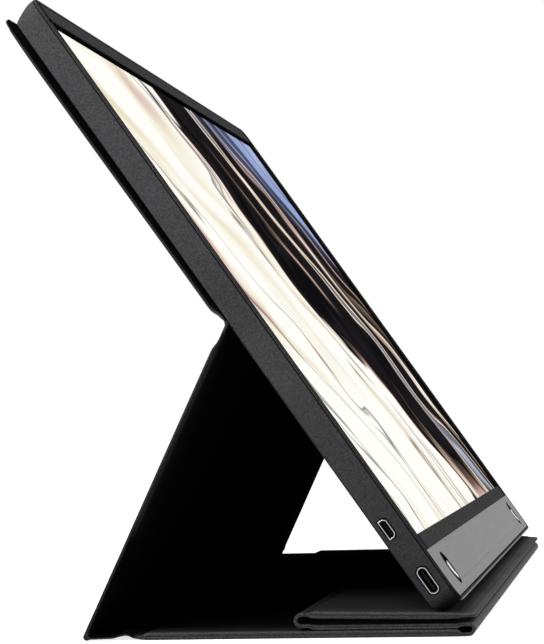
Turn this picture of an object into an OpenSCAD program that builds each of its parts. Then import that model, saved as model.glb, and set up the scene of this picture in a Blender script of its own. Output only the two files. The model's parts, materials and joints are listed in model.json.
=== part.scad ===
// Slim portable monitor, held at a tilt by its own folding cover.
//
// Frame: +X is the viewer's right, -Y is towards the viewer, +Z is up.
// The origin is on the table, under the middle of the base panel of the cover.
//
// The cover is one long sandwich of two sheets with stiff boards between them. From the back of
// the screen downwards it runs: upper panel, back crease, leg panel, leg crease, spine, base
// panel, front fold, middle flap, rear fold, front flap. The screen stands on the front flap.
//
// Screen pieces are drawn flat in the screen's own frame: X along the width, Y up the screen from
// its bottom edge, Z out of the picture, with the front edge of the housing at Z = 0.
// Cover panels are drawn flat too: Y runs from the fold that carries the panel to its far end,
// Z = 0 is the middle of the sandwich, and the lining is on the +Z side.

/* [Picture] */
// Width of the picture area
screen_w = 344.2; // [300:0.1:380]
// Height of the picture area
screen_h = 193.6; // [175:0.1:215]
// Width of the border at each side of the picture, housing wall included
side_border = 7.75; // [6:0.05:14]
// Height of the border above the picture, housing wall included
top_border = 10.1; // [7:0.1:18]
// Height of the border between the picture and the control strip
low_border = 5.5; // [4:0.1:12]
// Width of the display's own black edge, beside and above the picture
dark_edge = 1.3; // [0.4:0.1:2]

/* [Housing] */
// Depth of the side walls of the housing
edge_d = 8.7; // [8:0.1:12]
// Height of the raised back behind the side walls
back_rise = 1.2; // [0.6:0.1:3]
// Width of the slope around the raised back
back_slope = 5.0; // [2:0.5:12]
// Thickness of the side walls
wall_t = 1.0; // [0.8:0.1:1.6]
// Thickness of the back wall
back_t = 1.2; // [0.8:0.1:1.8]
// Radius of the four corners, seen from the front
corner_r = 6.0; // [3:0.5:12]
// Radius of the long edge that the screen stands on
foot_r = 4.4; // [3:0.1:6]
// Angle by which the top wall slopes down towards the back
top_slope = 30; // [10:1:35]
// Radius of the top edge at the back
top_r = 1.2; // [1:0.1:2]
// Gap around each piece that is set into the housing
fit_gap = 0.1; // [0.05:0.05:0.3]

/* [Front] */
// Height of the control strip under the picture
strip_h = 17.2; // [15:0.1:24]
// Width of the groove between the control strip and the housing's lower lip
strip_gap = 0.4; // [0.1:0.05:0.6]
// Thickness of the control strip
strip_t = 1.2; // [0.8:0.1:2]
// Depth of the control strip behind the front edge of the housing
strip_set = 0.1; // [0:0.05:0.4]
// Thickness of the dark frame around the picture
bezel_t = 1.2; // [0.8:0.1:2]
// Depth of the dark frame behind the front edge of the housing
bezel_set = 0.2; // [0:0.05:0.5]
// Thickness of the display panel
lcd_t = 1.3; // [1:0.1:2]
// Thickness of the light guide behind the display panel
guide_t = 1.4; // [0.8:0.1:1.6]
// Sheet thickness of the metal tray that carries the display
tray_t = 0.4; // [0.3:0.1:0.6]
// Width of the display panel hidden behind the frame, on each side
lcd_margin = 3.0; // [1.5:0.1:3.5]

/* [Buttons] */
// Diameter of the two round buttons
button_d = 11.0; // [8:0.1:13]
// Distance from the side of the housing to each button's centre
button_in = 25.8; // [18:0.1:60]
// Gap between a button and its hole
button_gap = 0.3; // [0.15:0.05:0.6]
// Travel of a button
button_travel = 0.5; // [0.3:0.05:0.8]
// Depth of the dish in a button's face
dish_d = 0.55; // [0.2:0.05:0.8]
// Thickness of a button's cap
button_t = 1.7; // [1.5:0.1:2.2]
// Width of the lip that keeps a button behind the strip
button_lip = 0.9; // [0.5:0.1:1.5]
// Thickness of that lip
lip_t = 0.5; // [0.4:0.1:0.8]

/* [Ports] */
// Height of the round-ended port's centre up the side
usb_up = 10.6; // [10:0.1:13]
// Depth of its centre behind the front edge
usb_back = 5.0; // [4.5:0.1:5.6]
// Outer width of its metal shell
usb_w = 8.94; // [8.3:0.02:9.5]
// Outer thickness of its metal shell
usb_h = 3.26; // [2.6:0.02:3.4]
// Height of the chamfered port's centre up the side
video_up = 30.0; // [26:0.1:40]
// Depth of its centre behind the front edge
video_back = 6.0; // [5.9:0.05:6.2]
// Outer width of its metal shell
video_w = 6.4; // [5.5:0.1:8]
// Outer thickness of its metal shell
video_h = 2.6; // [2.2:0.1:2.7]
// Length of both port shells into the housing
port_len = 7.4; // [6:0.1:10]
// Thickness of both port shells
shell_t = 0.3; // [0.2:0.05:0.4]
// Chamfer of the chamfered port
video_chamfer = 0.9; // [0.5:0.1:1.2]
// Width of the shallow ring sunk round both ports
port_ring = 0.5; // [0.2:0.1:0.5]
// Depth of that ring
port_sink = 0.4; // [0.2:0.05:0.5]

/* [Electronics] */
// Depth of the circuit boards' front face behind the front edge
pcb_back = 5.7; // [5.6:0.05:5.8]
// Thickness of the circuit boards
pcb_t = 0.8; // [0.6:0.1:0.9]
// Width of the main board
pcb_w = 84; // [75:1:95]
// Height of the main board
pcb_h = 40; // [36:1:46]
// Width of the board behind the second button
side_pcb_w = 34; // [24:1:40]
// Width of one battery cell
cell_w = 96; // [60:1:110]
// Height of one battery cell
cell_h = 84; // [50:1:96]
// Thickness of one battery cell
cell_t = 3.4; // [2.5:0.1:3.6]
// Width of one speaker
speaker_w = 56; // [40:1:66]
// Height of one speaker
speaker_h = 11.0; // [9:0.1:12]
// Diameter of the round magnets
magnet_d = 10; // [6:0.5:12]

/* [Stand] */
// Lean of the screen, measured from the table
tilt = 55.9; // [52:0.1:60]
// Distance of the back crease up the screen
crease_up = 108.4; // [104:0.1:116]
// Part of the screen's height below the leg panel when it lies folded on the back
leg_short = 4.9; // [4:0.1:8]
// Rise of the leg's hinge line over the upper panel's, which keeps the folded leg off the back
leg_lift = 0.3; // [0.2:0.05:0.6]
// Gap between the screen's rounded foot and the flap under it
seat_gap = 0.3; // [0.1:0.05:0.5]

/* [Cover] */
// Amount by which the cover is narrower than the screen on each side
cover_inset = 0.4; // [0:0.1:3]
// Length of the base panel, fold to fold
base_len = 102; // [96:0.5:112]
// Length of the spine, fold to fold
spine_len = 15.2; // [12:0.1:20]
// Length of the middle flap, fold to fold
middle_len = 50.7; // [46:0.1:58]
// Length of the front flap, fold to free edge
front_len = 52.5; // [48:0.1:60]
// Thickness of a padded panel
panel_t = 2.2; // [2:0.1:3.2]
// Thickness of the two sheets where no board lies between them
sheet_t = 1.0; // [0.7:0.1:1.2]
// Thickness of the stiff boards
board_t = 1.2; // [0.8:0.1:1.4]
// Width of the thin sewn edge around the cover
seam_w = 4.5; // [3:0.1:7]
// Distance from a fold's centre line to the thick part of a panel
core_gap = 2.5; // [2:0.1:4]
// Distance from a fold's centre line to the end of a panel's sheets
fold_gap = 1.2; // [1:0.1:1.6]
// Length of the slope from the thin edge up to the thick part
core_slope = 1.0; // [0.6:0.1:1.6]
// Length of the longer slopes beside the back crease
crease_slope = 5.0; // [1:0.5:8]
// Radius of the cover's outer corners
cover_r = 5.0; // [2:0.5:9]
// Part of the screen's height above the top of the upper panel
upper_short = 0; // [0:0.5:4]
// Gap between panels that lie folded on each other
layer_gap = 0.3; // [0.25:0.05:0.6]
// Gap between the two flaps at the rear fold, where the fold bulges
bulge_gap = 1.2; // [0.8:0.1:2.4]
// Gap left around each board and at each crease
sew_gap = 0.05; // [0.02:0.01:0.1]

/* [Hidden] */

$fn = 48;
far = 1000;      // longer than anything in the model, for cutting
cut = 1;         // how far a cut runs past the face that it opens
slack = 0.05;    // gap between two pieces that all but touch

// Colours
housing_grey = "#464648";
bezel_black = "#101012";
strip_grey = "#8b8b8c";
picture_cream = "#f3ead0";
metal = "#c9c9cc";
board_green = "#1d5a3c";
cell_grey = "#9a9ea5";
cone_black = "#1b1b1d";
ribbon_brown = "#8a5a24";
skin_black = "#1d1d1f";
lining_black = "#151516";
card_grey = "#6e6a62";
silicone = "#d6d6d2";

// Screen sizes
body_w = screen_w + 2 * side_border;
body_h = wall_t + strip_h + low_border + screen_h + top_border;
body_d = edge_d + back_rise;
picture_low = wall_t + strip_h + low_border;
bezel_low = wall_t + strip_h + fit_gap;
inner_back = edge_d - back_t;
deep_back = body_d - back_t;
rise_edge = 0.6;       // flat band between the rounded edges and the slope of the raised back
rise_root = 0.5;       // how far the raised back reaches into the side walls' depth
rise_low = foot_r + rise_edge;
land_gap = 0.2;        // from the back of the dark frame to the start of the top wall's slope
top_land = bezel_set + bezel_t + land_gap;
button_x = body_w / 2 - button_in;
button_y = wall_t + strip_h / 2;
button_base = -strip_set - strip_t - lip_t - slack;   // underside of the buttons' lips

// Depths of the display stack, front to back
lcd_z = -bezel_set - bezel_t;
guide_z = lcd_z - lcd_t;
tray_z = guide_z - guide_t;
lcd_w = screen_w + 2 * lcd_margin;
lcd_h = screen_h + 2 * lcd_margin;

// Electronics
pcb_inset = 1.2;       // from the side wall to the board's edge
pcb_rise = 3.4;        // from the wall under the strip up to the board's edge
pcb_x0 = -body_w / 2 + wall_t + pcb_inset;
pcb_low = wall_t + pcb_rise;
notch_len = port_len + fit_gap - wall_t - pcb_inset;   // of the board's notches for the ports
side_pcb_gap = 2.5;    // from the strip's edges to the second board's
side_pcb_h = strip_h - 2 * side_pcb_gap;
rest_in = 4;           // from the second board's ends to its rests
speaker_gap = 1.5;     // between the main board and a speaker
speaker_x = -(pcb_x0 + pcb_w) - speaker_gap - speaker_w / 2;
speaker_y = foot_r + speaker_h / 2;
screw_in = 5;          // from the main board's edges to its screws
screw_across = 40;     // from its side edge, which leaves room for the ports
screw_xs = [pcb_x0 + screw_across, pcb_x0 + pcb_w - screw_in];
screw_places = [for (x = screw_xs, y = [pcb_low + screw_in, pcb_low + pcb_h - screw_in]) [x, y]];
screw_d = 1.6;
screw_head_d = 3.4;
screw_head_t = 0.7;
screw_bite = 1.2;      // how deep a screw goes into its boss
boss_d = 5.0;
cell_gap = 4;          // between the two battery cells
cell_side = 40;        // from the screen's middle to the middle of the first cell
cell_down = 5.9;       // from the magnets to the cells below them
post_d = 4.0;
post_in = 14;          // from the side of the housing, and from the cells, to the posts
post_up = 10;          // from the cells up to the posts over them
post_xs = [-body_w / 2 + post_in, 0, body_w / 2 - post_in];
ribbon_w = 34;
ribbon_t = 0.3;
ribbon_in = 62;        // from the board's side edge to the ribbon's middle
ribbon_drop = 2.6;     // how far the ribbon runs down before it turns back
ribbon_foot = 5;       // length of the ribbon that lies on the board
magnet_t = 1.0;
magnet_out = [62, 130];      // from the middle of the screen to the magnets
magnet_xs = [for (side = [-1, 1], x = magnet_out) side * x];
magnet_down = 34;      // from the top of the housing to the magnets
magnet_y = body_h - magnet_down;
catch_in = 9;          // from the front flap's thin edge to its magnets
catch_y = front_len - seam_w - catch_in;
cell_low = magnet_y - magnet_d / 2 - cell_down - cell_h;
post_ys = [cell_low - post_in, cell_low + cell_h + post_up];

// Soft dome under each button
dome_r = 2.2;          // at its top
dome_foot_r = 4.0;
dome_foot_t = 0.5;
dome_wall = 0.8;

// Cover sizes
fold_end = fold_gap - sew_gap;
foot_slope = 0.4;      // slope at the leg's foot, where its board reaches down to the crease
board_in = 0.4;        // from the slope of a thick part to its board
cover_w = body_w - 2 * cover_inset;
leg_len = crease_up - leg_short;
upper_len = body_h - crease_up - upper_short;
base_mid_z = panel_t / 2;

// Fold lines in the side view, as [y, z]
front_fold_at = [-base_len / 2, panel_t + layer_gap / 2];
leg_fold_at = [base_len / 2 + spine_len, base_mid_z];
middle_mid_z = panel_t + layer_gap + panel_t / 2;
bulge_r = (panel_t + bulge_gap) / 2;
rear_fold_at = [front_fold_at[0] + middle_len, middle_mid_z + bulge_r];
front_flap_lean = atan((bulge_gap - layer_gap) / middle_len);

// The screen stands with its rounded foot on the front flap. Its height sets the leg's slope,
// which sets how far forward the foot stands, so the height is found by a few repeats.
crease_back = body_d + leg_lift + panel_t / 2;
foot_drop = foot_r * sin(tilt) - (edge_d - foot_r) * cos(tilt) - foot_r;
function leg_rise(z) = z + crease_up * sin(tilt) - crease_back * cos(tilt) - leg_fold_at[1];
function bottom_y_at(z) = leg_fold_at[0] - sqrt(pow(leg_len, 2) - pow(leg_rise(z), 2))
    - crease_up * cos(tilt) - crease_back * sin(tilt);
function foot_y_at(z) = bottom_y_at(z) + foot_r * cos(tilt) + (edge_d - foot_r) * sin(tilt);
function flap_top(y) = rear_fold_at[1] + (bulge_r + panel_t / 2) / cos(front_flap_lean)
    + (y - rear_fold_at[0]) * tan(front_flap_lean);
function settle(z, repeats) = repeats == 0 ? z
    : settle(flap_top(foot_y_at(z)) + seat_gap - foot_drop, repeats - 1);
bottom_z = settle(flap_top(front_fold_at[0]) + seat_gap - foot_drop, 6);
bottom_y = bottom_y_at(bottom_z);
leg_slope = asin(leg_rise(bottom_z) / leg_len);
leg_turn = 180 - leg_slope;
monitor_fold_at = [leg_fold_at[0] - leg_len * cos(leg_slope), leg_fold_at[1] + leg_len * sin(leg_slope)];

// ---- Placing ----

// From the screen's own frame to its tilted place
module on_screen() {
    translate([0, bottom_y, bottom_z]) rotate([tilt, 0, 0]) children();
}

// From a flat panel's frame to each panel's place
module on_leg() {
    translate([0, leg_fold_at[0], leg_fold_at[1]]) rotate([leg_turn, 0, 0]) children();
}

module on_upper() {
    on_screen() translate([0, crease_up, -body_d - panel_t / 2]) children();
}

module on_base() {
    translate([0, front_fold_at[0], base_mid_z]) children();
}

// The middle flap lies face down on the base, so its lining is below
module on_middle() {
    translate([0, front_fold_at[0], middle_mid_z]) mirror([0, 0, 1]) children();
}

// The front flap lies face up again, and runs forward from the rear fold
module on_front() {
    translate([0, rear_fold_at[0], rear_fold_at[1]]) rotate([front_flap_lean, 0, 0])
        translate([0, 0, bulge_r]) mirror([0, 1, 0]) children();
}

// A side view drawn in [y, z] becomes a bar of the given width along X
module across(width) {
    rotate([90, 0, 90]) linear_extrude(width, center = true) children();
}

// An end view drawn in [x, z] becomes a bar from y = 0 to the given length
module along(length) {
    translate([0, length, 0]) rotate([90, 0, 0]) linear_extrude(length) children();
}

// ---- Flat outlines ----

// A plate centred on x = 0 from y0 to y1, with its own corner radius at each end
module tab(width, y0, y1, r0, r1) {
    translate([-width / 2, y0 + r0]) square([width, y1 - y0 - r0 - r1]);
    end_row(width, y0, r0, 1);
    end_row(width, y1, r1, -1);
}

// The rounded end of such a plate
module end_row(width, y, r, side) {
    if (r > 0) {
        translate([-width / 2 + r, min(y, y + side * r)]) square([width - 2 * r, r]);
        for (x = [-1, 1]) translate([x * (width / 2 - r), y + side * r]) circle(r);
    }
}

// A flat bar with round ends, lying along Y
module slot_outline(length, thick) {
    square([thick, length - thick], center = true);
    for (side = [-1, 1]) translate([0, side * (length - thick) / 2]) circle(d = thick);
}

// The outline of the chamfered port: two corners on the back side are cut off
module video_outline(length, thick, chamfer) {
    h = length / 2;
    t = thick / 2;
    polygon([[t, -h], [t, h], [-t + chamfer, h], [-t, h - chamfer],
             [-t, -h + chamfer], [-t + chamfer, -h]]);
}

// A straight strap between two points of a side view
module strap(from, to, thick) {
    run = to - from;
    translate(from) rotate(atan2(run[1], run[0])) translate([0, -thick / 2]) square([norm(run), thick]);
}

// ---- Screen ----

// Length from the corner between the top wall and the back to where its rounding of radius r starts
function top_tangent(r) = r * tan(45 - top_slope / 2);

// How far up the corner lies, in a housing drawn smaller by a wall and a back thickness
function top_corner(wall, back) = body_h - wall - (edge_d - back - top_land) * tan(top_slope);

// Side view of the housing, drawn smaller by a wall and a back thickness
module side_form(wall, back) {
    d = edge_d - back;
    foot = foot_r - wall;
    top = max(top_r - wall, 0.2);
    reach = top_tangent(top);
    corner = top_corner(wall, back);
    polygon([[wall, cut], [body_h - wall, cut], [body_h - wall, -top_land],
             [corner + reach * sin(top_slope), reach * cos(top_slope) - d], [corner - reach, -d],
             [wall + foot, -d], [wall, foot - d]]);
    translate([wall + foot, foot - d]) circle(foot);
    translate([corner - reach, top - d]) circle(top);
}

// The raised middle of the back, drawn smaller in the same way
module raised_back(wall, back) {
    low = rise_low + wall;
    high = top_corner(wall, 0) - top_tangent(top_r) - rise_edge;
    side = body_w / 2 - rise_edge - wall;
    base = -edge_d + back + rise_root;
    face = -body_d + back;
    intersection() {
        across(body_w)
            polygon([[low, base], [low, -edge_d + back], [low + back_slope, face],
                     [high - back_slope, face], [high, -edge_d + back], [high, base]]);
        along(body_h)
            polygon([[-side, base], [-side, -edge_d + back], [-side + back_slope, face],
                     [side - back_slope, face], [side, -edge_d + back], [side, base]]);
    }
}

module housing_form(wall, back) {
    intersection() {
        across(body_w) side_form(wall, back);
        translate([0, 0, -body_d]) linear_extrude(body_d + cut)
            tab(body_w - 2 * wall, wall, body_h - wall, corner_r - wall, corner_r - wall);
    }
    raised_back(wall, back);
}

// From a port's own frame to its place in the left wall: X is depth behind the front edge,
// Y is up the side and Z runs into the housing
module at_side(up, back) {
    translate([-body_w / 2, up, -back]) rotate([0, 90, 0]) children();
}

module rear_housing() {
    color(housing_grey) on_screen() {
        difference() {
            intersection() {
                housing_form(0, 0);
                translate([-body_w, -cut, -far]) cube([2 * body_w, body_h + 2 * cut, far]);
            }
            housing_form(wall_t, back_t);
            // the port openings, each with its shallow ring
            at_side(usb_up, usb_back) translate([0, 0, -cut]) {
                linear_extrude(wall_t + 2 * cut) slot_outline(usb_w + 2 * fit_gap, usb_h + 2 * fit_gap);
                linear_extrude(cut + port_sink) slot_outline(usb_w + 2 * port_ring, usb_h + 2 * port_ring);
            }
            at_side(video_up, video_back) translate([0, 0, -cut]) {
                linear_extrude(wall_t + 2 * cut)
                    video_outline(video_w + 2 * fit_gap, video_h + 2 * fit_gap, video_chamfer);
                linear_extrude(cut + port_sink)
                    video_outline(video_w + 2 * port_ring, video_h + 2 * port_ring, video_chamfer);
            }
        }
        // bosses under the main board, each with its screw hole
        for (place = screw_places) translate([place[0], place[1], -deep_back]) difference() {
            cylinder(d = boss_d, h = deep_back - pcb_back - pcb_t);
            cylinder(d = screw_d + 2 * slack, h = far);
        }
        // posts under the display tray
        for (x = post_xs, y = post_ys) translate([x, y, -deep_back])
            cylinder(d = post_d, h = deep_back + tray_z - tray_t);
        // two rests under the second button's board
        for (side = [-1, 1])
            translate([button_x + side * (side_pcb_w / 2 - rest_in), button_y, -deep_back])
                cylinder(d = post_d, h = deep_back - pcb_back - pcb_t);
    }
}

module front_bezel() {
    outer_w = body_w - 2 * (wall_t + fit_gap);
    color(bezel_black) on_screen() translate([0, 0, lcd_z]) linear_extrude(bezel_t) difference() {
        tab(outer_w, bezel_low, body_h - wall_t - fit_gap, 0, corner_r - wall_t - fit_gap);
        translate([-screen_w / 2 - dark_edge, picture_low])
            square([screen_w + 2 * dark_edge, screen_h + dark_edge]);
    }
}

module control_strip() {
    outer_w = body_w - 2 * (wall_t + fit_gap);
    r = corner_r - wall_t - fit_gap;
    color(strip_grey) on_screen() translate([0, 0, -strip_set - strip_t]) linear_extrude(strip_t)
        difference() {
            tab(outer_w, wall_t + strip_gap, wall_t + strip_h, r, 0);
            for (side = [-1, 1]) translate([side * button_x, button_y])
                circle(d = button_d + 2 * button_gap);
        }
}

module display_panel() {
    color(picture_cream) on_screen() translate([-lcd_w / 2, picture_low - lcd_margin, lcd_z - lcd_t])
        cube([lcd_w, lcd_h, lcd_t]);
}

module light_guide() {
    color("white", 0.9) on_screen() translate([-lcd_w / 2, picture_low - lcd_margin, guide_z - guide_t])
        cube([lcd_w, lcd_h, guide_t]);
}

// A shallow pan, open along the bottom edge where the ribbon leaves
module display_tray() {
    low = picture_low - lcd_margin;
    high = low + lcd_h + fit_gap;
    w = lcd_w + 2 * fit_gap;
    color(metal) on_screen() difference() {
        translate([-w / 2 - tray_t, low, tray_z - tray_t])
            cube([w + 2 * tray_t, high - low + tray_t, tray_t + guide_t + lcd_t]);
        translate([-w / 2, low - cut, tray_z]) cube([w, high - low + cut, guide_t + lcd_t + cut]);
    }
}

module main_board() {
    color(board_green) on_screen() difference() {
        translate([pcb_x0, pcb_low, -pcb_back - pcb_t]) cube([pcb_w, pcb_h, pcb_t]);
        // the port shells are sunk into notches in the board
        for (port = [[usb_up, usb_w], [video_up, video_w]])
            translate([pcb_x0 - cut, port[0] - port[1] / 2 - fit_gap, -pcb_back - pcb_t - cut])
                cube([cut + notch_len, port[1] + 2 * fit_gap, pcb_t + 2 * cut]);
        for (place = screw_places) translate([place[0], place[1], -far / 2])
            cylinder(d = screw_d + 2 * fit_gap, h = far);
    }
}

module button_board() {
    color(board_green) on_screen()
        translate([button_x - side_pcb_w / 2, button_y - side_pcb_h / 2, -pcb_back - pcb_t])
            cube([side_pcb_w, side_pcb_h, pcb_t]);
}

module board_screws() {
    color(metal) on_screen() for (place = screw_places) translate([place[0], place[1], -pcb_back]) {
        cylinder(d = screw_head_d, h = screw_head_t);
        translate([0, 0, -pcb_t - screw_bite]) cylinder(d = screw_d, h = pcb_t + screw_bite);
    }
}

module battery_cells() {
    color(cell_grey) on_screen() for (place = [0, 1])
        translate([place * (cell_w + cell_gap) - cell_side - cell_w / 2, cell_low, -deep_back])
            cube([cell_w, cell_h, cell_t]);
}

// A flat box with a raised oval frame and a cone inside it
module speaker(side) {
    air = 0.5;          // between the strip and the speaker
    frame_t = 0.6;
    frame_in = 1.2;     // from the box's long edges to the frame
    frame_rim = 1.4;
    frame_w = speaker_h - 2 * frame_in;
    frame_l = speaker_w - 2 * frame_w / 2;
    z = -strip_set - strip_t - air;
    depth = inner_back + z;
    color(cone_black) on_screen() translate([side * speaker_x, speaker_y, z]) difference() {
        union() {
            translate([-speaker_w / 2, -speaker_h / 2, -depth])
                cube([speaker_w, speaker_h, depth - frame_t]);
            translate([0, 0, -frame_t]) rotate([0, 0, 90]) linear_extrude(frame_t)
                slot_outline(frame_l, frame_w);
        }
        translate([0, 0, -2 * frame_t]) rotate([0, 0, 90]) linear_extrude(2 * frame_t + cut)
            slot_outline(frame_l - 2 * frame_rim, frame_w - 2 * frame_rim);
    }
}

module speaker_left() { speaker(-1); }

module speaker_right() { speaker(1); }

// A flat ribbon from the display's lower edge, back and down onto the main board
module display_ribbon() {
    top = picture_low - lcd_margin;
    turn = top - ribbon_drop;
    z0 = lcd_z - lcd_t / 2;
    color(ribbon_brown) on_screen() translate([pcb_x0 + ribbon_in, 0, 0]) across(ribbon_w) {
        translate([turn, z0 - ribbon_t]) square([top - turn, ribbon_t]);
        translate([turn - ribbon_t, -pcb_back]) square([ribbon_t, z0 + pcb_back]);
        translate([turn - ribbon_foot, -pcb_back]) square([ribbon_foot, ribbon_t]);
    }
}

// ---- Ports ----

module usb_c_shell() {
    color(metal) on_screen() at_side(usb_up, usb_back) linear_extrude(port_len) difference() {
        slot_outline(usb_w, usb_h);
        slot_outline(usb_w - 2 * shell_t, usb_h - 2 * shell_t);
    }
}

// The tongue stands on a plug that fills the inner end of the shell
module usb_c_tongue() {
    inner_w = usb_w - 2 * shell_t;
    inner_h = usb_h - 2 * shell_t;
    back_stop = 1.4;
    mouth = 0.8;        // from the shell's open end to the tongue
    tongue_w = 6.6;
    tongue_t = 0.7;
    color(bezel_black) on_screen() at_side(usb_up, usb_back) {
        translate([0, 0, port_len - back_stop]) linear_extrude(back_stop) slot_outline(inner_w, inner_h);
        translate([-tongue_t / 2, -tongue_w / 2, mouth]) cube([tongue_t, tongue_w, port_len - back_stop]);
    }
}

module video_port_shell() {
    color(metal) on_screen() at_side(video_up, video_back) linear_extrude(port_len) difference() {
        video_outline(video_w, video_h, video_chamfer);
        video_outline(video_w - 2 * shell_t, video_h - 2 * shell_t, video_chamfer - shell_t / 2);
    }
}

module video_port_tongue() {
    back_stop = 1.6;
    mouth = 1.0;        // from the shell's open end to the tongue
    tongue_w = 4.4;
    tongue_t = 0.6;
    color(bezel_black) on_screen() at_side(video_up, video_back) {
        translate([0, 0, port_len - back_stop]) linear_extrude(back_stop)
            video_outline(video_w - 2 * shell_t, video_h - 2 * shell_t, video_chamfer - shell_t / 2);
        translate([-tongue_t / 2, -tongue_w / 2, mouth]) cube([tongue_t, tongue_w, port_len - back_stop]);
    }
}

module body_magnets() {
    color(metal) on_screen() for (x = magnet_xs) translate([x, magnet_y, -deep_back])
        cylinder(d = magnet_d, h = magnet_t);
}

// ---- Buttons ----

// A dished cap with a chamfered edge, kept behind the strip by a lip. The skirt round the dome
// meets the board at the end of the button's travel.
module button(side) {
    r = button_d / 2;
    edge = 0.5;
    dish_r = r - 1.0;
    ball_r = (pow(dish_r, 2) + pow(dish_d, 2)) / (2 * dish_d);
    skirt_t = 0.8;
    skirt = pcb_back + button_base - button_travel - fit_gap;
    color(strip_grey) on_screen() translate([side * button_x, button_y, button_base]) difference() {
        rotate_extrude() polygon([
            [0, 0], [r - skirt_t, 0], [r - skirt_t, -skirt], [r, -skirt], [r, 0],
            [r + button_lip, 0], [r + button_lip, lip_t], [r, lip_t],
            [r, button_t - edge], [r - edge, button_t], [0, button_t]]);
        translate([0, 0, button_t - dish_d + ball_r]) sphere(ball_r, $fn = 160);
    }
}

module menu_button() { button(-1); }

module power_button() { button(1); }

// The soft dome that lifts a button, standing on its board
module dome(side) {
    height = pcb_back + button_base - slack;
    inner = dome_r - dome_wall;
    waist_r = dome_r + dome_wall;
    color(silicone) on_screen() translate([side * button_x, button_y, -pcb_back]) rotate_extrude()
        polygon([[0, height - dome_wall], [inner, height - dome_wall], [dome_r, dome_foot_t], [dome_r, 0],
                 [dome_foot_r, 0], [dome_foot_r, dome_foot_t], [waist_r, dome_foot_t],
                 [dome_r, height], [0, height]]);
}

module menu_dome() { dome(-1); }

module power_dome() { dome(1); }

// ---- Cover panels ----

// A panel's solid sandwich. The sheets run from y0 to y1, and each thick part is given as
// [start, end, length of its slope at the start, and at the end].
module sandwich(y0, y1, r1, core) {
    translate([0, 0, -sheet_t / 2]) linear_extrude(sheet_t) tab(cover_w, y0, y1, 0, r1);
    thick_part(core);
}

module thick_part(core) {
    half = cover_w / 2 - seam_w;
    s = sheet_t / 2;
    p = panel_t / 2;
    first = core[0] + core[2];
    last = core[1] - core[3];
    intersection() {
        across(cover_w)
            polygon([[core[0], -s], [first, -p], [last, -p], [core[1], -s],
                     [core[1], s], [last, p], [first, p], [core[0], s]]);
        translate([0, core[0], 0]) along(core[1] - core[0])
            polygon([[-half, -s], [-half + core_slope, -p], [half - core_slope, -p], [half, -s],
                     [half, s], [half - core_slope, p], [-half + core_slope, p], [-half, s]]);
    }
}

// The board inside a thick part, drawn larger by a gap to cut its pocket
module board_form(core, gap) {
    inset = board_in - gap;
    w = cover_w - 2 * (seam_w + core_slope + inset);
    y0 = core[0] + core[2] + inset;
    translate([-w / 2, y0, -board_t / 2]) cube([w, core[1] - core[3] - inset - y0, board_t]);
}

// One sheet of the sandwich: side -1 is the outer skin and side 1 the lining
module sheet_of(side, y0, y1, r1, core) {
    difference() {
        intersection() {
            sandwich(y0, y1, r1, core);
            translate([-far / 2, -far / 2, side > 0 ? 0 : -far]) cube(far);
        }
        board_form(core, sew_gap);
    }
}

// Thick part of each panel, along its own Y
upper_core = [core_gap, upper_len - seam_w, crease_slope, core_slope];
leg_core = [fold_gap, leg_len - core_gap, foot_slope, crease_slope];
base_core = [core_gap, base_len - core_gap, core_slope, core_slope];
middle_core = [core_gap, middle_len - core_gap, core_slope, core_slope];
front_core = [core_gap, front_len - seam_w, core_slope, core_slope];

module upper_sheet(side) { on_upper() sheet_of(side, fold_gap, upper_len, cover_r, upper_core); }

module upper_skin() { color(skin_black) upper_sheet(-1); }

module upper_lining() { color(lining_black) upper_sheet(1); }

module upper_board() {
    color(card_grey) on_upper() difference() {
        board_form(upper_core, 0);
        for (x = magnet_xs) translate([x, magnet_y - crease_up, -far / 2])
            cylinder(d = magnet_d + 2 * fit_gap, h = far);
    }
}

module holding_magnets() {
    color(metal) on_upper() for (x = magnet_xs)
        translate([x, magnet_y - crease_up, -board_t / 2]) cylinder(d = magnet_d, h = board_t);
}

module leg_sheet(side) { on_leg() sheet_of(side, fold_gap, leg_len - fold_gap, 0, leg_core); }

module leg_skin() { color(skin_black) leg_sheet(-1); }

module leg_lining() { color(lining_black) leg_sheet(1); }

module leg_board() { color(card_grey) on_leg() board_form(leg_core, 0); }

// The base panel and the spine share their two sheets, and only the base panel has a board
module base_sheet(side) {
    on_base() sheet_of(side, fold_gap, base_len + spine_len - fold_gap, 0, base_core);
}

module base_skin() { color(skin_black) base_sheet(-1); }

module base_lining() { color(lining_black) base_sheet(1); }

module base_board() { color(card_grey) on_base() board_form(base_core, 0); }

module middle_sheet(side) { on_middle() sheet_of(side, fold_gap, middle_len - fold_gap, 0, middle_core); }

module middle_flap_skin() { color(skin_black) middle_sheet(-1); }

module middle_flap_lining() { color(lining_black) middle_sheet(1); }

module middle_flap_board() { color(card_grey) on_middle() board_form(middle_core, 0); }

module front_sheet(side) { on_front() sheet_of(side, fold_gap, front_len, cover_r, front_core); }

module front_flap_skin() { color(skin_black) front_sheet(-1); }

module front_flap_lining() { color(lining_black) front_sheet(1); }

module front_flap_board() {
    color(card_grey) on_front() difference() {
        board_form(front_core, 0);
        for (x = magnet_xs) translate([x, catch_y, -far / 2]) cylinder(d = magnet_d + 2 * fit_gap, h = far);
    }
}

module catch_magnets() {
    color(metal) on_front() for (x = magnet_xs)
        translate([x, catch_y, -board_t / 2]) cylinder(d = magnet_d, h = board_t);
}

// ---- Folds: the two sheets alone, bent between neighbouring panels ----

// Directions in the side view
function heading(angle) = [cos(angle), sin(angle)];

// Where a point of the screen's frame, given as [up, out], lies in the side view
function on_side(up, out) = [bottom_y, bottom_z] + up * heading(tilt) + out * heading(tilt + 90);

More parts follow.
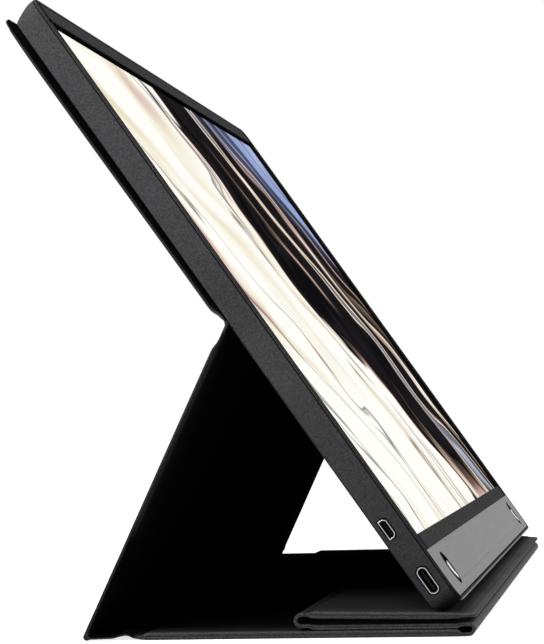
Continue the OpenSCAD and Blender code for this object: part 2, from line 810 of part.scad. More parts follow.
module back_crease() {
    upper_mid = -body_d - panel_t / 2;
    upper_start = on_side(crease_up, upper_mid);
    color(skin_black) across(cover_w) {
        strap(upper_start, on_side(crease_up + fold_end, upper_mid), sheet_t);
        strap(monitor_fold_at, upper_start, sheet_t);
        strap(monitor_fold_at, monitor_fold_at - fold_end * heading(leg_turn), sheet_t);
        for (at = [upper_start, monitor_fold_at]) translate(at) circle(d = sheet_t);
    }
}

module leg_crease() {
    color(skin_black) across(cover_w) {
        strap(leg_fold_at, leg_fold_at - [fold_end, 0], sheet_t);
        strap(leg_fold_at, leg_fold_at + fold_end * heading(leg_turn), sheet_t);
        translate(leg_fold_at) circle(d = panel_t);
    }
}

// A bend through half a turn about a fold line, open towards +Y (side 1) or -Y (side -1)
module half_turn(at, radius, side) {
    translate(at) {
        difference() {
            circle(radius + sheet_t / 2);
            circle(radius - sheet_t / 2);
            translate([side > 0 ? 0 : -far, -far / 2]) square(far);
        }
        for (level = [-1, 1]) strap([0, level * radius], [side * fold_end, level * radius], sheet_t);
    }
}

module front_fold() {
    color(skin_black) across(cover_w)
        half_turn(front_fold_at, (panel_t + layer_gap) / 2, 1);
}

module rear_fold() {
    color(skin_black) across(cover_w) half_turn(rear_fold_at, bulge_r, -1);
}

rear_housing();
front_bezel();
control_strip();
display_panel();
light_guide();
display_tray();
main_board();
button_board();
board_screws();
battery_cells();
speaker_left();
speaker_right();
display_ribbon();
usb_c_shell();
usb_c_tongue();
video_port_shell();
video_port_tongue();
body_magnets();
power_button();
menu_button();
power_dome();
menu_dome();
upper_skin();
upper_lining();
upper_board();
holding_magnets();
leg_skin();
leg_lining();
leg_board();
base_skin();
base_lining();
base_board();
middle_flap_skin();
middle_flap_lining();
middle_flap_board();
front_flap_skin();
front_flap_lining();
front_flap_board();
catch_magnets();
back_crease();
leg_crease();
front_fold();
rear_fold();
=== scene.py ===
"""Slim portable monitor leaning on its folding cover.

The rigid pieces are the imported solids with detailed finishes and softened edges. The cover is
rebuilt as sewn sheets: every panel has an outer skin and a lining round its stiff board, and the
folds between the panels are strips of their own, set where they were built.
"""
import json
import math

import bmesh
import bpy
import numpy as np
from mathutils import Matrix, Vector, noise


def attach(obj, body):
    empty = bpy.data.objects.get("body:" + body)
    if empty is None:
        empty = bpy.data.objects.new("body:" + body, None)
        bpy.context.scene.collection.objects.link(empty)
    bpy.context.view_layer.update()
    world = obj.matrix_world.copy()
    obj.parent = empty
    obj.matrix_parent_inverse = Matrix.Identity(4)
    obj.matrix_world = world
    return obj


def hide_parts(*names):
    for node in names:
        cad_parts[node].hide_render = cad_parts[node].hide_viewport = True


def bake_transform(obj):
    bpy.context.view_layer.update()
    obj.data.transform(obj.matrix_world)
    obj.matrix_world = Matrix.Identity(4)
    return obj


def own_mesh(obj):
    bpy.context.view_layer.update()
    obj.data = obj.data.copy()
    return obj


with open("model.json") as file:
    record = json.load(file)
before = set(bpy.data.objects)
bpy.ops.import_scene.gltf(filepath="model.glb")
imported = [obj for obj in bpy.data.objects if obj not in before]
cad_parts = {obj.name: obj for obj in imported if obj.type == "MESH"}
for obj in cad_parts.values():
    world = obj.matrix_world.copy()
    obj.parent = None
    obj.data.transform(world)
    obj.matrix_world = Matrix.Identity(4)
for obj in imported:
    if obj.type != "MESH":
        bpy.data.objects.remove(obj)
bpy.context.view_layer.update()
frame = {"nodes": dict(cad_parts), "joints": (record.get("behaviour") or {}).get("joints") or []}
nodes = frame["nodes"]
joints = {j["name"]: j for j in frame["joints"]}
MM = 0.001


# ---- Places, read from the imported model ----

def points_of(node):
    """The points of a CAD node, in metres."""
    return np.array([v.co for v in nodes[node].data.vertices], float)


class Place:
    """A flat frame seen from the side: x stays as it is, s runs along the piece and n across it."""

    def __init__(self, origin, s, n):
        self.origin, self.s, self.n = (np.array(v, float) for v in (origin, s, n))

    def at(self, x, s, n):
        """A point given in millimetres, in the row frame in metres."""
        y, z = self.origin + (s * self.s + n * self.n) * MM
        return x * MM, y, z

    def local(self, node):
        """Lowest and highest x, s and n of a CAD node in this frame, in millimetres."""
        p = points_of(node)
        flat = p[:, 1:] - self.origin
        q = np.stack([p[:, 0], flat @ self.s, flat @ self.n], 1) / MM
        return q.min(0), q.max(0)


def fold_line(joint):
    """Where a fold's axis lies in the side view."""
    return np.array(joints[joint]["pos_m"][1:], float)


def panel_place(name, fold):
    """The frame of a cover panel: s from its fold to its far end, n towards its lining."""
    p, q = points_of(name + "_board")[:, 1:], points_of(name + "_lining")[:, 1:]
    middle = (p.min(0) + p.max(0)) / 2
    s = np.linalg.svd(p - p.mean(0), full_matrices=False)[2][0]
    if (middle - fold) @ s < 0:
        s = -s
    n = np.array([-s[1], s[0]])
    if ((q.min(0) + q.max(0)) / 2 - middle) @ n < 0:
        n = -n
    return Place(middle + s * ((fold - middle) @ s), s, n)


press = joints["power_press"]["axis"]
tilt = math.atan2(press[1], -press[2])
up = np.array([math.cos(tilt), math.sin(tilt)])
out = np.array([-math.sin(tilt), math.cos(tilt)])
screen = Place((0, 0), up, out)      # along the screen's slope, from the row's origin
panel_low, panel_high = screen.local("display_panel")

# The lit part of the display, in metres along the slope: it lies inside the panel's dark rim,
# which is narrower at the top
dark_rim, top_rim = 3.0 * MM, 2.1 * MM
picture_w = (panel_high[0] - panel_low[0]) * MM - 2 * dark_rim
picture_y = panel_low[1] * MM + dark_rim
picture_h = (panel_high[1] - panel_low[1]) * MM - dark_rim - top_rim

# The cover's panels, each with the joint at the fold that it starts from
FOLD_OF = {"upper": "screen_fold", "leg": "leg_fold", "base": "middle_flap_fold",
           "middle_flap": "middle_flap_fold", "front_flap": "front_flap_fold"}
PLACES = {name: panel_place(name, fold_line(joint)) for name, joint in FOLD_OF.items()}


# ---- Sizes of the cover, in millimetres ----

SHEET = 1.0          # the two sheets together
THICK = 2.2          # a panel with its board
POCKET = 0.63        # from the middle of a panel to the inside of its sheets, over the board
SEAM = 4.5           # width of the sewn edge
SLOPE = 1.0          # and of the slope from it up to the board
FOLD_END = 1.2       # where a panel's sheets end, from its fold line
FOLD_RIM = 1.3       # thin edge beside a fold
CORNER = 5.0         # radius of the corners at a free end
ROLL = 0.3           # radius of the rounded edge of a sheet
PART = 0.07          # how far the two sheets part at their cut edge
PRESS_IN = 2.2       # from the edge to the pressed line of the seam
PRESS_DEEP = 0.12    # depth of that line
EDGE_REACH = 1.1           # how far the wear and the painted edge light reach in from a cut edge
TUCK = 0.6           # how far the back crease lies in towards the screen
TUCK_UPPER = 1.15    # and further at the sides, where the screen's back slopes away
TUCK_LEG = 0.2       # the same on the leg's side of the crease
LEAN_IN = 0.5        # how far the upper panel's sides lean in to the screen above the crease
STAND_OFF = 0.65     # and how much farther out they are at its free end
NEAR_CURL = 0.0062   # the leg's edge at the ports' side bends to its lining, for each mm up the leg
CURL_FROM = 25.0     # above this place, and to its skin below it
FAR_CURL = -1.7      # the leg's other side edge bends to its skin
FOOT_FULL = 1.5      # up to this place the leg's foot is full to its side edges
FOOT_FADE = 9.0      # and over this length it thins out
SAG_FROM = 98.6      # where the base panel sinks to the table behind its board
SPINE_SAG = -0.58    # height of its thin spine there, at the side away from the ports
FRONT_DROOP = 0.5    # how far the front fold's lower half droops to the table
FLAP_DROOP = 0.45    # how far the middle flap's side edges hang down
# Height of the spine at the ports' side, along the base panel
COCKLE = ((98.4, 0.0), (99.8, -0.45), (102.0, -0.1), (104.7, 0.9), (109.8, -0.1), (116.0, -0.25))
PLAIN = (FOLD_RIM, SLOPE)          # the thin edge and the slope beside a fold
EDGE = (SEAM, SLOPE)               # and at a free end
SIDE_BAND = 5.6      # width of the side bands that bend by themselves
SIDE_BEND = 5.0      # and of the stretch over which they start to
HUG_BAND = 5.2       # width of the side bands where the screen's back slopes away
SLOW_WAVE, SLOW_RISE = 34, 0.07    # unevenness of a sheet over its board, length and height
QUICK_WAVE, QUICK_RISE = 8, 0.03   # and the finer one that reaches its edges
cover_half = PLACES["base"].local("base_skin")[1][0]

# Spacing of the sheets' points, in millimetres
CELL = 9.0           # over the middle of a sheet
FINE_CELL = 1.2      # along its sides where they bend
MARGIN = 4.0         # width of the flat ring round the middle grid
FOLD_CELL = 4.0      # along a fold
ARC_STEPS = 6        # steps round the corner of a free end
EDGE_STEPS = [0, 0.04, 0.12, 0.25, 0.45, 0.8, 1.4, 2.2, 3.2, 4.2, 5.2, 6.5]    # in from a fold's end


# ---- Small helpers ----

def smooth(t):
    """A soft step from 0 to 1."""
    t = min(max(t, 0.0), 1.0)
    return t * t * (3 - 2 * t)


def add_object(name, data):
    obj = bpy.data.objects.new(name, data)
    bpy.context.scene.collection.objects.link(obj)
    return obj


def mesh_object(name, verts, faces, materials, face_slots=None):
    """A smooth closed mesh object made from points in metres."""
    weld = 1e-7
    mesh = bpy.data.meshes.new(name)
    mesh.from_pydata([tuple(v) for v in verts], [], faces)
    for m in materials:
        mesh.materials.append(m)
    if face_slots is not None:
        mesh.polygons.foreach_set("material_index", face_slots)
    bm = bmesh.new()
    bm.from_mesh(mesh)
    bmesh.ops.remove_doubles(bm, verts=bm.verts, dist=weld)
    bmesh.ops.dissolve_degenerate(bm, edges=bm.edges, dist=weld)
    bmesh.ops.recalc_face_normals(bm, faces=bm.faces)
    for f in bm.faces:
        f.smooth = True
    bm.to_mesh(mesh)
    bm.free()
    return add_object(name, mesh)


def wander(x, s, scale, seed):
    """Slow, seeded noise over a sheet, about -1 to 1."""
    return noise.noise(Vector((x / scale, s / scale, seed)))


# ---- Materials ----

BLACK, WHITE = (0.0, 0.0, 0.0), (1.0, 1.0, 1.0)


def grey(value):
    return (value, value, value)


def add_node(tree, kind, feeds=(), **settings):
    """A new shader node. feeds gives its inputs, as plain values or as the outputs of others."""
    n = tree.nodes.new("ShaderNode" + kind)
    for key, value in settings.items():
        setattr(n, key, value)
    for key, value in dict(feeds).items():
        if isinstance(value, bpy.types.NodeSocket):
            tree.links.new(value, n.inputs[key])
        else:
            n.inputs[key].default_value = value
    return n


class Mat:
    """A node material with one Principled shader and short calls for what feeds it."""

    def __init__(self, name, base, roughness=0.5, **sockets):
        self.material = bpy.data.materials.new(name)
        self.material.use_nodes = True
        self.tree = self.material.node_tree
        self.shader = self.tree.nodes["Principled BSDF"]
        self.shader.inputs["Base Color"].default_value = (*base, 1)
        self.shader.inputs["Roughness"].default_value = roughness
        for socket, value in sockets.items():
            self.shader.inputs[socket.replace("_", " ")].default_value = value

    def node(self, kind, feeds=(), **settings):
        return add_node(self.tree, kind, feeds, **settings)

    def feed(self, value, socket):
        """Drives a socket of the material's shader."""
        self.tree.links.new(value, self.shader.inputs[socket])

    def coords(self, turn=0.0):
        """Object coordinates, turned about X: by the screen's tilt, y runs up the screen."""
        plain = self.node("TexCoord").outputs["Object"]
        feeds = {"Vector": plain, "Rotation": (turn, 0, 0)}
        return self.node("Mapping", feeds, vector_type="TEXTURE").outputs["Vector"]

    def split(self, coords):
        """The x, y and z of coordinates."""
        return self.node("SeparateXYZ", {0: coords}).outputs

    def scaled(self, coords, scale):
        return self.node("Mapping", {"Vector": coords, "Scale": scale}).outputs["Vector"]

    def noise(self, coords, scale, detail=3.0, rough=0.55, distortion=0.0):
        feeds = {"Vector": coords, "Scale": scale, "Detail": detail, "Roughness": rough}
        return self.node("TexNoise", {**feeds, "Distortion": distortion}).outputs["Fac"]

    def cells(self, coords, scale):
        feeds = {"Vector": coords, "Scale": scale}
        return self.node("TexVoronoi", feeds, feature="SMOOTH_F1").outputs["Distance"]

    def ramp(self, value, stops):
        n = self.node("ValToRGB", {"Fac": value})
        while len(n.color_ramp.elements) < len(stops):
            n.color_ramp.elements.new(0.5)
        for element, (place, colour) in zip(n.color_ramp.elements, stops):
            element.position = place
            element.color = (*colour, 1)
        return n.outputs["Color"]

    def math(self, kind, a, b=None, c=None, clamp=False):
        feeds = {i: value for i, value in enumerate((a, b, c)) if value is not None}
        return self.node("Math", feeds, operation=kind, use_clamp=clamp).outputs[0]

    def linear(self, value, slope, level, clamp=False):
        return self.math("MULTIPLY_ADD", value, slope, level, clamp)

    def product(self, first, *others):
        for other in others:
            first = self.math("MULTIPLY", first, other)
        return first

    def length(self, a, b):
        squares = self.math("ADD", self.math("MULTIPLY", a, a), self.math("MULTIPLY", b, b))
        return self.math("SQRT", squares)

    def average(self, a, b, share):
        """The two values together, with this share of the second."""
        return self.math("ADD", self.math("MULTIPLY", a, 1 - share), self.math("MULTIPLY", b, share))

    def mix(self, fac, a, b):
        a, b = ((*c, 1) if isinstance(c, tuple) else c for c in (a, b))
        return self.node("Mix", {0: fac, 6: a, 7: b}, data_type="RGBA").outputs[2]

    def colour(self, value):
        self.feed(value, "Base Color")

    def rough(self, value):
        self.feed(value, "Roughness")

    def bump(self, height, strength, distance):
        feeds = {"Height": height, "Strength": strength, "Distance": distance}
        self.feed(self.node("Bump", feeds).outputs["Normal"], "Normal")


def spread(m, value, low, high):
    """Maps a 0..1 noise to low..high."""
    return m.linear(value, high - low, low)


def step(m, place, none, full):
    """0 at one place and 1 at the other, both in millimetres, with a straight slope between."""
    return m.linear(place, 1 / (full - none) / MM, none / (none - full), clamp=True)


def between_tones(m, value, base, depth, first, last):
    """The base colour, darker by the given share below first and lighter by it above last."""
    dark, light = (tuple(c * k for c in base) for k in (1 - depth, 1 + depth))
    return m.ramp(value, [(first, dark), (last, light)])


def plastic(name, base, rough, grain=2600, speck=0.12):
    """Fine spark-eroded moulded plastic: small grain, faint speckle and slow shading."""
    m = Mat(name, base, rough, IOR=1.3)
    at = m.coords()
    fine = m.noise(at, grain, 2.0, 0.6)
    slow = m.noise(at, 26, 2.0)
    m.colour(between_tones(m, m.average(fine, slow, 0.2), base, speck, 0.3, 0.7))
    m.rough(spread(m, slow, rough - 0.05, rough + 0.06))
    m.bump(fine, 0.35, 0.00006)
    return m.material


def metal(name, base, rough, brushed=0.0):
    """Bare metal with fine wear, drawn out along X where it is brushed."""
    m = Mat(name, base, rough, Metallic=1.0)
    at = m.coords()
    if brushed:
        at = m.scaled(at, (1, brushed, brushed))
    wear = m.noise(at, 900, 4.0, 0.6)
    m.rough(spread(m, wear, rough * 0.8, rough * 1.25))
    m.colour(m.ramp(wear, [(0.25, tuple(c * 0.86 for c in base)), (0.75, base)]))
    m.bump(wear, 0.15, 0.00003)
    return m.material


# ---- The rigid pieces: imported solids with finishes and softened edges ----

def dress(names, material, edge=0.0):
    """Gives CAD nodes a material, and rounds their edges by a small bevel in millimetres."""
    for name in names:
        o = nodes[name]
        o.data.materials.clear()
        o.data.materials.append(material)
        if edge:
            weld = o.modifiers.new("weld", "WELD")
            weld.merge_threshold = 1e-6
            bevel = o.modifiers.new("edge", "BEVEL")
            bevel.width = edge * MM
            bevel.segments = 2
            bevel.limit_method = "ANGLE"
            bevel.angle_limit = math.radians(28)


def port_rim(m, y, z, shell):
    """1 in a narrow ring round a port's shell, seen on the side of the housing."""
    low, high = screen.local(shell)
    radius = (high[2] - low[2]) / 2 * MM
    half = (high[1] - low[1]) / 2 * MM - radius
    along = m.math("ABSOLUTE", m.math("SUBTRACT", y, (low[1] + high[1]) / 2 * MM))
    along = m.math("MAXIMUM", m.math("SUBTRACT", along, half), 0.0)
    across = m.math("SUBTRACT", z, (low[2] + high[2]) / 2 * MM)
    gap = 0.2 * MM                             # from the shell to the middle of the ring
    beyond = m.math("SUBTRACT", m.length(along, across), radius + gap)
    return step(m, m.math("ABSOLUTE", beyond), 1 / 3, 1 / 6)


def housing_material():
    """Fine-grained plastic with a parting line round its front edge, painted shade towards its foot
    and round the ports, and a painted highlight along its bottom lip.
    """
    m = Mat("housing_plastic", (0.046, 0.046, 0.048), 0.62, IOR=1.12)
    at = m.coords(tilt)
    _, y, z = m.split(at)
    low, high = screen.local("rear_housing")
    depth = m.linear(z, -0.5 / MM, high[2] / 2)      # from the front, 1 is 2 mm
    rise = m.linear(y, 0.01 / MM, -low[1] / 100)     # from the foot, 1 is 100 mm
    line = m.ramp(depth, [(0.02, grey(0.13)), (0.07, grey(0.13)), (0.12, grey(1)), (0.22, grey(1)),
                          (0.27, grey(0.13)), (0.46, grey(0.13)), (0.52, grey(1))])
    # Painted shade: near black just above the bottom edge, lightening over the lowest 6 mm and then
    # slowly up the whole side face
    foot = m.ramp(rise, [(0.004, grey(0.03)), (0.02, grey(0.1)), (0.04, grey(0.45)),
                         (0.06, grey(0.7)), (0.25, grey(0.78)), (0.9, grey(1))])
    # Painted shade in a narrow ring round each port's shell, on the side face
    port_ring_shade = m.math("MAXIMUM", *(port_rim(m, y, z, s) for s in ("usb_c_shell", "video_port_shell")))
    port_ring_shade = m.product(port_ring_shade, m.math("GREATER_THAN", depth, 0.6))
    shade = m.product(line, foot, m.linear(port_ring_shade, -0.9, 1.0))
    # Painted highlight: a pale line along the front of the bottom lip
    lip_highlight = m.product(m.math("LESS_THAN", rise, 0.0045), m.math("LESS_THAN", depth, 0.35))
    fine, slow = m.noise(at, 2400, 2.0, 0.6), m.noise(at, 26, 2.0)
    tone = m.ramp(m.average(fine, slow, 0.2),
                  [(0.3, (0.023, 0.023, 0.024)), (0.7, (0.071, 0.071, 0.074))])
    m.colour(m.mix(lip_highlight, m.mix(shade, BLACK, tone), (0.22, 0.22, 0.225)))
    m.rough(spread(m, slow, 0.57, 0.68))
    m.bump(fine, 0.35, 0.00006)
    return m.material


def from_button(m, x, y):
    """Place on the strip's face from the middle of the nearer button, in metres."""
    low, high = screen.local("power_button")
    middle = (low + high) / 2 * MM
    here = m.product(m.math("SIGN", x), middle[0])
    return m.math("SUBTRACT", x, here), m.math("SUBTRACT", y, middle[1])


def hole_radius():
    """Radius of the strip's hole for a button, in millimetres."""
    low, high = screen.local("power_button")
    p = points_of("control_strip")
    flat = np.stack([p[:, 0], p[:, 1:] @ up], 1) / MM
    return np.linalg.norm(flat - (low + high)[:2] / 2, axis=1).min()


def strip_material():
    """Grey metal strip, pressed with a grid of very fine dimples of uneven tone; the walls of its
    button holes are painted black as shade.
    """
    pitch = 0.62 * MM
    past_wall = 0.06                           # in millimetres
    m = Mat("strip_metal", (0.15, 0.15, 0.153), 0.5, IOR=1.3)
    at = m.coords(tilt)
    x, y, _ = m.split(at)
    wave_x, wave_y = (m.math("SINE", m.product(c, 2 * math.pi / pitch)) for c in (x, y))
    dimples = m.linear(m.product(wave_x, wave_y), 0.5, 0.5)
    uneven = m.noise(m.scaled(at, (0.25, 1, 1)), 1300, 1.0, 0.5)
    face = m.ramp(m.average(dimples, uneven, 0.65),
                  [(0.28, (0.095, 0.095, 0.098)), (0.5, (0.145, 0.145, 0.148)),
                   (0.72, (0.205, 0.205, 0.21))])
    # Painted shade: the walls of the button holes are black and reflect nothing
    hole_wall_shade = m.math("LESS_THAN", m.length(*from_button(m, x, y)), (hole_radius() + past_wall) * MM)
    m.colour(m.mix(hole_wall_shade, face, grey(0.001)))
    m.feed(m.linear(hole_wall_shade, -0.5, 0.5), "Specular IOR Level")
    m.rough(spread(m, uneven, 0.42, 0.56))
    m.bump(dimples, 0.4, 0.00006)
    return m.material


def spot(m, x, y, z=0.0):
    """A point for a noise, from two places and a fixed third."""
    return m.node("CombineXYZ", {0: x, 1: y, 2: z}).outputs[0]


def streaks(m, x, y, seed, across, along):
    """Noise drawn out along Y."""
    place = spot(m, m.product(x, across), m.product(y, along), seed)
    return m.noise(place, 1.0, 3.0, 0.5, 0.4)


def picture_material():
    """The lit picture: loose ribbons of colour over a cream ground, with no words."""
    m = Mat("picture", grey(0.002), 0.5, IOR=1.0)
    at = m.coords(tilt)
    x, y, _ = m.split(at)
    x = m.linear(x, 1 / picture_w, 0.5)
    y = m.linear(y, 1 / picture_h, -picture_y / picture_h)
    bend = m.noise(spot(m, m.product(x, 2.4), m.product(y, 1.5)), 1.0, 2.0)
    bent = m.math("ADD", x, m.linear(bend, 0.5, -0.25))
    # The ribbons lean as they go up
    broad = streaks(m, m.linear(y, 0.34, bent), y, 3.1, 4.2, 1.3)
    fine = streaks(m, m.linear(y, 0.30, bent), y, 8.7, 11.0, 1.1)

    cream, white, yellow = (0.93, 0.88, 0.74), (1.0, 0.99, 0.95), (0.66, 0.57, 0.30)
    blush, taupe, dark = (0.68, 0.48, 0.43), (0.16, 0.11, 0.08), (0.003, 0.003, 0.004)
    blue, mist, smoke = (0.29, 0.38, 0.68), (0.55, 0.57, 0.72), (0.012, 0.010, 0.012)
    pale = m.ramp(broad, [(0.28, yellow), (0.37, cream), (0.43, white), (0.52, white),
                          (0.57, cream), (0.63, blush), (0.69, white)])
    thin = m.ramp(fine, [(0.585, BLACK), (0.60, WHITE), (0.615, WHITE), (0.63, BLACK)])
    pale = m.mix(m.product(thin, 0.75), pale, taupe)
    deep = m.ramp(fine, [(0.30, dark), (0.40, smoke), (0.45, dark), (0.485, taupe), (0.51, blush),
                         (0.535, white), (0.555, yellow), (0.575, dark), (0.66, mist), (0.72, dark)])
    reach = m.linear(broad, 0.75, m.linear(y, 0.26, x))
    colour = m.mix(m.ramp(reach, [(0.99, BLACK), (1.04, WHITE)]), pale, deep)
    sky = m.linear(m.math("ADD", x, y), 5.0, -7.9, clamp=True)
    colour = m.mix(m.product(sky, m.linear(fine, 4.0, -1.3, clamp=True)), colour, blue)
    off_x, off_y = (m.math("ABSOLUTE", m.math("SUBTRACT", c, 0.5)) for c in (x, y))
    inside = m.math("LESS_THAN", m.math("MAXIMUM", off_x, off_y), 0.5)
    m.feed(m.mix(inside, grey(0.002), colour), "Emission Color")
    m.shader.inputs["Emission Strength"].default_value = 1.0
    m.bump(m.noise(at, 4000, 2.0), 0.1, 0.00002)
    return m.material


def bezel_material():
    """Dull dark frame with painted shade: it darkens where it meets the walls and where it steps down
    to the picture.
    """
    m = Mat("bezel_plastic", (0.045, 0.045, 0.047), 0.8, IOR=1.0)
    at = m.coords(tilt)
    x, y, _ = m.split(at)
    reach = 10 * MM
    side = m.linear(m.math("ABSOLUTE", x), 1 / reach, -picture_w / 2 / reach)
    above = m.linear(y, 1 / reach, -(picture_y + picture_h) / reach)
    dark, darker, plain = grey(0.2), grey(0.05), grey(0.8)
    # Painted shade: dark bands beside the picture and towards the walls, and over the picture's top
    # edge
    beside = m.ramp(side, [(0.0, plain), (0.02, darker), (0.30, dark), (0.34, plain),
                           (0.44, plain), (0.48, dark)])
    over = m.ramp(above, [(0.0, WHITE), (0.003, darker), (0.05, darker), (0.2, WHITE)])
    grain = m.noise(at, 900, 2.0, 0.6)
    tone = m.product(m.linear(grain, 2.4, -0.2), beside, over)
    m.colour(m.mix(tone, BLACK, (0.068, 0.068, 0.07)))
    m.bump(grain, 0.3, 0.00005)
    return m.material


def button_material():
    """Spun dark metal with a painted reflection: one side of the dish is painted black, with a white
    streak painted beside it.
    """
    m = Mat("button_spun_painted_reflection", (0.17, 0.17, 0.173), 0.35, IOR=1.0)
    at_x, at_y, _ = m.split(m.coords(tilt))
    reach, ring_pitch = 5.5 * MM, 0.22 * MM
    x, y = (m.math("DIVIDE", c, reach) for c in from_button(m, at_x, at_y))
    across = m.linear(x, 0.5, 0.5)
    dark, metal_grey = grey(0.001), (0.15, 0.15, 0.153)
    # Painted reflection: the dish is black over most of its face, with a white streak painted across
    # part of it
    streak_mask = m.linear(m.math("ABSOLUTE", m.math("ADD", y, 0.2)), -5.0, 3.3, clamp=True)
    dull = m.ramp(across, [(0.15, metal_grey), (0.42, dark), (0.88, dark), (0.95, metal_grey)])
    painted_streak = m.ramp(across, [(0.15, metal_grey), (0.42, dark), (0.66, dark), (0.69, WHITE),
                             (0.81, WHITE), (0.84, dark), (0.88, metal_grey)])
    # The far button's outer edge is painted black as shade
    far_edge_shade = m.product(m.math("GREATER_THAN", at_x, 0.0), m.math("GREATER_THAN", x, 0.8))
    m.colour(m.mix(far_edge_shade, m.mix(streak_mask, dull, painted_streak), dark))
    rings = m.math("SINE", m.product(m.length(x, y), 2 * math.pi * reach / ring_pitch))
    m.bump(rings, 0.2, 0.00003)
    return m.material


def tongue_material():
    """Black insulator with a row of small dull contacts."""
    contact_pitch = 0.5 * MM
    m = Mat("port_tongue_black", grey(0.003), 0.6, IOR=1.1)
    _, y, _ = m.split(m.coords(tilt))
    stripe = m.math("SINE", m.product(y, 2 * math.pi / contact_pitch))
    m.colour(m.mix(m.math("GREATER_THAN", stripe, 0.55), grey(0.003), (0.035, 0.026, 0.01)))
    m.bump(stripe, 0.3, 0.00003)
    return m.material


plain_metal = metal("sheet_metal", (0.6, 0.61, 0.63), 0.35, brushed=12)
dress(["rear_housing"], housing_material(), 0.3)
dress(["front_bezel"], bezel_material(), 0.12)
dress(["control_strip"], strip_material(), 0.12)
dress(["display_panel"], picture_material())
dress(["power_button", "menu_button"], button_material(), 0.08)
dress(["usb_c_shell", "video_port_shell"], metal("port_metal", (0.40, 0.40, 0.41), 0.3), 0.08)
dress(["usb_c_tongue", "video_port_tongue"], tongue_material(), 0.05)
dress(["light_guide"], plastic("light_guide_acrylic", (0.85, 0.87, 0.88), 0.3, speck=0.03))
dress(["display_tray"], plain_metal)
dress(["display_ribbon"], plastic("ribbon_film", (0.28, 0.10, 0.02), 0.35))
dress(["main_board", "button_board"], plastic("solder_mask", (0.012, 0.10, 0.045), 0.4))
dress(["board_screws"], plain_metal, 0.1)
dress(["battery_cells"], metal("cell_foil", (0.36, 0.38, 0.41), 0.45), 0.5)
dress(["speaker_left", "speaker_right"],
      plastic("speaker_plastic", (0.012, 0.012, 0.013), 0.55), 0.2)
dress(["body_magnets", "holding_magnets", "catch_magnets"],
      metal("nickel", (0.72, 0.72, 0.74), 0.25), 0.1)
dress(["power_dome", "menu_dome"], plastic("dome_silicone", (0.55, 0.55, 0.52), 0.6, speck=0.04))
dress([name + "_board" for name in PLACES],
      plastic("pressed_board", (0.16, 0.145, 0.12), 0.8, grain=900, speck=0.25))


def soft_dome(node):
    """A silicone dome under a button: a copy of its CAD node, carried by the screen."""
    dome = add_object(node + "_soft", nodes[node].data.copy())
    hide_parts(node)
    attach(dome, "screen")
    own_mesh(dome)


soft_dome("power_dome")
soft_dome("menu_dome")


# ---- The cover's materials ----

def edge_wear_and_light(m, grain):
    """0 on the faces of a sheet and up to 1, in specks, along its cut edges."""
    specks = m.linear(grain, 4.0, -1.35, clamp=True)
    return m.product(m.node("Attribute", attribute_name="edge").outputs["Fac"], specks)


def off_spine(m, y, value):
    """The value, faded to 0 at the rear end of the base's board: the spine behind it stays black."""
    return m.product(value, step(m, y, 51.5, 49.0))


def leather(name, worn_and_lit):
    """Fine-grained imitation leather, with paler specks along the cut edges: wear, paler still on the
    lying panels as painted light.
    """
    base, rough = (0.014, 0.014, 0.015), 0.6
    m = Mat(name, base, rough, IOR=1.2, Sheen_Weight=0.03, Sheen_Roughness=0.5)
    at = m.coords()
    pebble = m.cells(at, 1500)
    fine = m.noise(at, 3600, 3.0, 0.65)
    slow = m.noise(at, 30, 3.0)
    # Paler specks at the cut edges: wear, with painted light on the lying panels' copy
    wear = off_spine(m, m.split(at)[1], edge_wear_and_light(m, m.noise(at, 1500, 2.0, 0.6)))
    plain = between_tones(m, m.average(slow, pebble, 0.5), base, 0.25, 0.2, 0.75)
    m.colour(m.mix(wear, plain, worn_and_lit))
    m.rough(spread(m, fine, rough - 0.08, rough + 0.08))
    m.bump(m.average(pebble, fine, 0.3), 0.4, 0.00012)
    return m.material


def microfibre(name, base, lit_sides, worn_and_lit, front=None):
    """Short brushed nap with slow patches where it lies another way.

    It is paler at the cover's sides as painted light, and has paler specks along the cut edges as
    wear and painted light. The front colour, if given, is painted light in front of the screen's
    foot."""
    m = Mat(name, base, 0.92, IOR=1.0, Sheen_Weight=0.006, Sheen_Roughness=0.6)
    at = m.coords()
    x, y, _ = m.split(at)
    nap = m.noise(at, 1700, 3.0, 0.7)
    patch = m.noise(at, 18, 3.0, 0.6, 0.6)
    across = m.math("DIVIDE", m.math("ABSOLUTE", x), cover_half * MM)
    # Painted light: the nap is paler towards the cover's open sides
    side = off_spine(m, y, m.math("POWER", across, 30.0, clamp=True))
    tone = m.average(nap, patch, 0.4)

    def brushed(colour):
        return between_tones(m, tone, colour, 0.4, 0.3, 0.7)

    plain = m.mix(side, brushed(base), brushed(lit_sides))
    # Painted light: paler in front of the screen's foot, out of the screen's shade
    if front:
        plain = m.mix(step(m, y, -47.6, -49.6), plain, brushed(front))
    m.colour(m.mix(off_spine(m, y, edge_wear_and_light(m, nap)), plain, worn_and_lit))
    m.bump(nap, 0.5, 0.0001)
    return m.material


